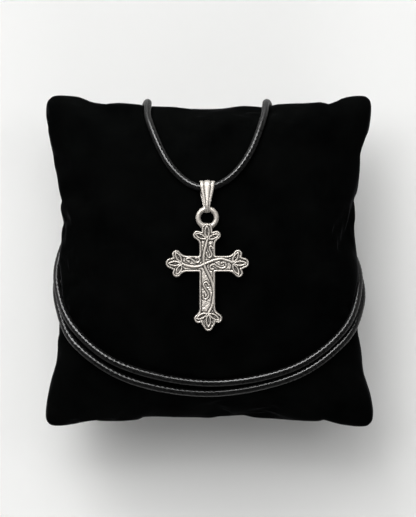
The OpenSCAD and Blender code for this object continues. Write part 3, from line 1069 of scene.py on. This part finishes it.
# Clasp: a barrel that screws together behind the pillow, by distance from its middle and radius
CLASP_AT = np.array([0, 30.5, 3.4])
CLASP_HALF = [
    (0.0, 1.86), (0.12, 1.86), (0.2, 1.98), (0.35, 2.0), (3.3, 2.0), (3.45, 1.93), (3.55, 1.8), (3.65, 1.93),
    (3.85, 2.0), (4.0, 1.93), (4.1, 1.6), (4.6, 1.55), (5.7, 1.5), (5.9, 1.42), (6.0, 1.3), (6.0, 1.12),
    (5.9, 1.08), (5.0, 1.08), (5.0, 0.0),
]
CLASP_SIDES = 96
CLASP_RECESS = 0.1
# Knurls: how many, how deep, and the stretch and least radius that have them
KNURLS = 24
KNURL_DEEP = 0.07
KNURL_FROM = 0.3
KNURL_TO = 3.35
KNURL_LEAST_R = 1.5


def make_clasp(material):
    profile = [(-a, r) for a, r in reversed(CLASP_HALF)] + CLASP_HALF[1:]
    points = []
    for a, r in profile:
        knurled = KNURL_FROM < abs(a) < KNURL_TO and r > KNURL_LEAST_R
        for k in range(CLASP_SIDES):
            angle = 2 * math.pi * k / CLASP_SIDES
            knurl = KNURL_DEEP * math.sin(KNURLS * angle / 2) ** 2 if knurled else 0
            points.append((a, (r - knurl) * math.cos(angle), (r - knurl) * math.sin(angle)))
    faces = strip_faces(len(profile), CLASP_SIDES)
    recess = np.full(len(points), CLASP_RECESS)
    piece = mesh_object("clasp_barrel", np.array(points) + CLASP_AT, faces, material, recess)
    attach(piece, "root")
    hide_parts("clasp")


FLOOR_HALF = 1500.0


def make_floor():
    half = FLOOR_HALF
    points = [(-half, -half, 0), (half, -half, 0), (half, half, 0), (-half, half, 0)]
    floor = mesh_object("floor", points, [(0, 1, 2, 3)], floor_material())


# Lights: compass angle from +Y toward +X, angle over the floor, distance and size in metres, watts.
# The soft ones give the shade on the floor, and their watts come from a fit to the floor's brightness
# in the photograph. The windows are what the cord and the metal reflect.
LIGHTS = [
    ("softbox_top", 0, 50, 2.5, (1.3, 1.0), 13, "soft"),
    ("softbox_left", -30, 50, 2.5, (1.3, 1.0), 12.2, "soft"),
    ("softbox_side", -60, 50, 2.5, (1.3, 1.0), 10.9, "soft"),
    ("softbox_right", 60, 50, 2.5, (1.3, 1.0), 7.3, "soft"),
    ("softbox_high", -45, 70, 2.5, (1.3, 1.0), 3.7, "soft"),
    ("softbox_front", -28, 30, 2.5, (1.3, 1.0), 21.2, "soft"),
    ("low_top", 0, 12, 2.5, (1.3, 1.0), 30, "soft"),
    ("low_top_left", -20, 12, 2.5, (1.3, 1.0), 22.5, "soft"),
    ("low_left", -40, 12, 2.5, (1.3, 1.0), 6.8, "soft"),
    ("low_top_right", 28, 12, 2.5, (1.3, 1.0), 10, "soft"),
    ("fill_right", 120, 12, 2.5, (1.3, 1.0), 5.3, "soft"),
    ("fill_near", 170, 12, 2.5, (1.3, 1.0), 30, "soft"),
    ("fill_near_left", 228, 12, 2.5, (1.3, 1.0), 12.5, "soft"),
    ("window", -20, 44, 1.0, (0.6, 0.4), 24, "reflected"),
    ("window_glow", -20, 32, 1.0, (0.6, 0.3), 8, "reflected, no shadow"),
]
WORLD_LIGHT = 0.08


def make_lights():
    world = bpy.data.worlds.new("studio")
    world.use_nodes = True
    background = world.node_tree.nodes["Background"]
    background.inputs["Color"].default_value = (1.0, 1.0, 0.995, 1)
    background.inputs["Strength"].default_value = WORLD_LIGHT
    bpy.context.scene.world = world
    for name, compass, up, away, size, watts, role in LIGHTS:
        data = bpy.data.lights.new(name, "AREA")
        data.shape = "RECTANGLE"
        data.size, data.size_y = size
        data.energy = watts
        light = bpy.data.objects.new(name, data)
        light.visible_glossy = role != "soft"
        light.visible_diffuse = role == "soft"
        data.use_shadow = role != "reflected, no shadow"
        round_, rise = math.radians(compass), math.radians(up)
        way = Vector((math.sin(round_) * math.cos(rise), math.cos(round_) * math.cos(rise), math.sin(rise)))
        light.location = way * away
        light.rotation_euler = way.to_track_quat("Z", "Y").to_euler()
        bpy.context.collection.objects.link(light)


make_camera()
cord_path = make_cord()
make_pillow(cord_path)
silver = silver_material("antiqued_silver", SILVER_BRIGHT, SILVER_TARNISH_AND_SHADE)
make_cross(silver)
make_bail(silver)
make_clasp(silver_material("clasp_steel", STEEL_BRIGHT, STEEL_TARNISH))
make_floor()
make_lights()
bpy.context.scene.view_settings.view_transform = "Standard"
